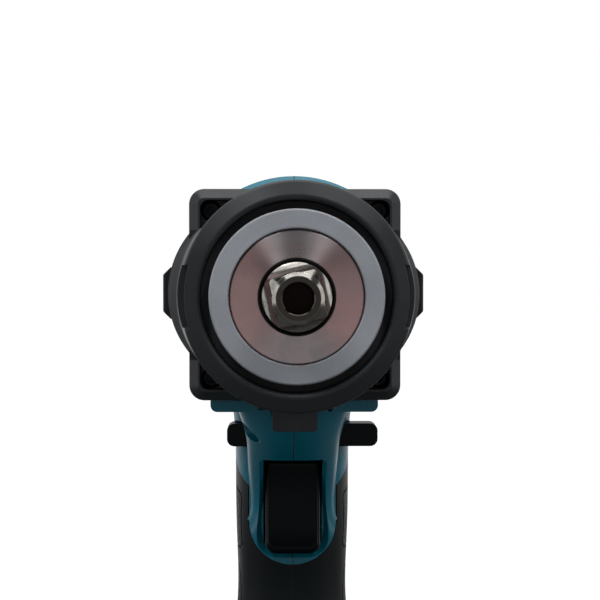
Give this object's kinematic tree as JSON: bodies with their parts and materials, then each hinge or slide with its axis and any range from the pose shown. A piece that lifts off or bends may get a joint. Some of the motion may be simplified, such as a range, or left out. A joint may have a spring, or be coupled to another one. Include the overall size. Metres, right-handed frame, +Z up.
{
  "type": "cordless impact wrench",
  "caption": "Pistol-grip cordless impact wrench with a square drive in a round ring-lit nose, trigger, reversing lever and a slide-on battery under the foot.",
  "frame": {"origin": "middle of the battery's underside, on which the tool stands", "axes": "+Z up, -Y along the drive towards the square, +X to the right of someone who faces the drive"},
  "size_m": [0.0806, 0.1746, 0.2412],
  "materials": {
    "teal_plastic": "moulded, slightly textured",
    "black_plastic": "moulded, fine grain",
    "black_elastomer": "soft, matt, fine grain",
    "frosted_lens": "translucent, frosted",
    "turned_steel": "turned, phosphate dark",
    "bright_steel": "ground",
    "black_steel": "black oxide",
    "case_aluminium": "machined face on a casting",
    "plate_aluminium": "die cast",
    "bronze": "sintered",
    "copper": "enamelled winding wire",
    "magnet": "sintered, nickel plated",
    "lamination": "stacked sheets",
    "white_plastic": "glass filled",
    "board": "circuit board",
    "cell_can": "sleeved cells",
    "wire": "insulated leads",
    "seal_rubber": "moulded lip",
    "smoke_plastic": "glossy panel"
  },
  "bodies": {
    "tool": {"anvil_bushing": "bronze", "anvil_seal": "seal_rubber", "bearing_plate": "plate_aluminium", "controller": "black_plastic", "cover_screws": "black_steel", "grip_left": "black_elastomer", "grip_right": "black_elastomer", "hammer_case": "case_aluminium", "housing_left": "teal_plastic", "housing_right": "teal_plastic", "housing_screws": "black_steel", "lamp_board": "board", "lamp_carrier": "black_plastic", "light_ring": "frosted_lens", "mode_panel": "smoke_plastic", "motor_bearings": "bright_steel", "motor_leads": "wire", "nose_cover": "black_elastomer", "rear_cover": "black_plastic", "ring_gear": "bright_steel", "sensor_board": "board", "side_pads": "black_elastomer", "spindle_bearing": "bright_steel", "stator_core": "lamination", "switch_body": "black_plastic", "terminals": "bronze", "trigger_spring": "bright_steel", "winding_formers": "white_plastic", "windings": "copper"},
    "rotor": {"rotor_shaft": "bright_steel", "rotor_core": "lamination", "rotor_magnets": "magnet", "fan": "black_plastic"},
    "spindle": {"spindle": "turned_steel", "planet_pins": "bright_steel", "hammer_spring": "bright_steel"},
    "planet_1": {"planet_gear_1": "bright_steel"},
    "planet_2": {"planet_gear_2": "bright_steel"},
    "planet_3": {"planet_gear_3": "bright_steel"},
    "spring_seat": {"spring_washer": "bright_steel"},
    "hammer": {"hammer": "turned_steel", "cam_balls": "bright_steel"},
    "anvil": {"anvil": "turned_steel", "friction_ring": "bright_steel"},
    "trigger": {"trigger": "black_plastic", "switch_plunger": "black_plastic"},
    "lever": {"reversing_lever": "black_plastic"},
    "power_button": {"power_button": "black_plastic"},
    "light_button": {"light_button": "black_plastic"},
    "battery": {"battery_lower": "black_plastic", "battery_upper": "black_plastic", "battery_cells": "cell_can", "cell_holders": "white_plastic", "battery_board": "board", "battery_contacts": "bronze", "battery_screws": "black_steel", "gauge_panel": "smoke_plastic", "latch_spring": "bright_steel"},
    "latch": {"release_latch": "black_plastic"},
    "gauge_button": {"gauge_button": "black_plastic"}
  },
  "joints": [
    {"name": "rotor_spin", "type": "hinge", "parent": "tool", "child": "rotor", "pos_m": [0, -0.036, 0.206], "axis": [0, -1, 0], "continuous": true},
    {"name": "spindle_spin", "type": "hinge", "parent": "tool", "child": "spindle", "pos_m": [0, -0.036, 0.206], "axis": [0, -1, 0], "continuous": true},
    {"name": "planet_1_spin", "type": "hinge", "parent": "spindle", "child": "planet_1", "pos_m": [-0.0135, -0.0265, 0.206], "axis": [0, -1, 0], "continuous": true},
    {"name": "planet_2_spin", "type": "hinge", "parent": "spindle", "child": "planet_2", "pos_m": [0.00675, -0.0265, 0.21769], "axis": [0, -1, 0], "continuous": true},
    {"name": "planet_3_spin", "type": "hinge", "parent": "spindle", "child": "planet_3", "pos_m": [0.00675, -0.0265, 0.19431], "axis": [0, -1, 0], "continuous": true},
    {"name": "hammer_slide", "type": "slide", "parent": "spindle", "child": "spring_seat", "axis": [0, 1, 0], "range_m": [0, 0.0095], "stiffness_N_per_m": 9000, "deforming": ["hammer_spring"]},
    {"name": "hammer_turn", "type": "hinge", "parent": "spring_seat", "child": "hammer", "pos_m": [0, -0.056, 0.206], "axis": [0, 1, 0], "range_deg": [0, 60]},
    {"name": "anvil_spin", "type": "hinge", "parent": "tool", "child": "anvil", "pos_m": [0, -0.036, 0.206], "axis": [0, -1, 0], "continuous": true},
    {"name": "trigger_pull", "type": "slide", "parent": "tool", "child": "trigger", "axis": [0, 1, 0], "range_m": [0, 0.0065], "stiffness_N_per_m": 1200, "deforming": ["trigger_spring"]},
    {"name": "lever_slide", "type": "slide", "parent": "tool", "child": "lever", "axis": [1, 0, 0], "range_m": [-0.0064, 0]},
    {"name": "power_press", "type": "slide", "parent": "tool", "child": "power_button", "axis": [0, 0.3473, -0.9377], "range_m": [0, 0.0007], "stiffness_N_per_m": 2000},
    {"name": "light_press", "type": "slide", "parent": "tool", "child": "light_button", "axis": [0, 0.3473, -0.9377], "range_m": [0, 0.0007], "stiffness_N_per_m": 2000},
    {"name": "battery_slide", "type": "slide", "parent": "tool", "child": "battery", "axis": [0, -1, 0], "range_m": [0, 0.072]},
    {"name": "latch_press", "type": "slide", "parent": "battery", "child": "latch", "axis": [0, 0, -1], "range_m": [0, 0.004], "stiffness_N_per_m": 1500, "deforming": ["latch_spring"]},
    {"name": "gauge_press", "type": "slide", "parent": "battery", "child": "gauge_button", "axis": [0, -1, 0], "range_m": [0, 0.0006], "stiffness_N_per_m": 2000}
  ],
  "couplings": [
    {"joint": "spindle_spin", "follows": "rotor_spin", "ratio": 0.2},
    {"joint": "planet_1_spin", "follows": "rotor_spin", "ratio": -0.53333},
    {"joint": "planet_2_spin", "follows": "rotor_spin", "ratio": -0.53333},
    {"joint": "planet_3_spin", "follows": "rotor_spin", "ratio": -0.53333},
    {"joint": "anvil_spin", "follows": "rotor_spin", "ratio": 0.2},
    {"joint": "hammer_turn", "follows": "hammer_slide", "rad_per_m": 110.23}
  ]
}
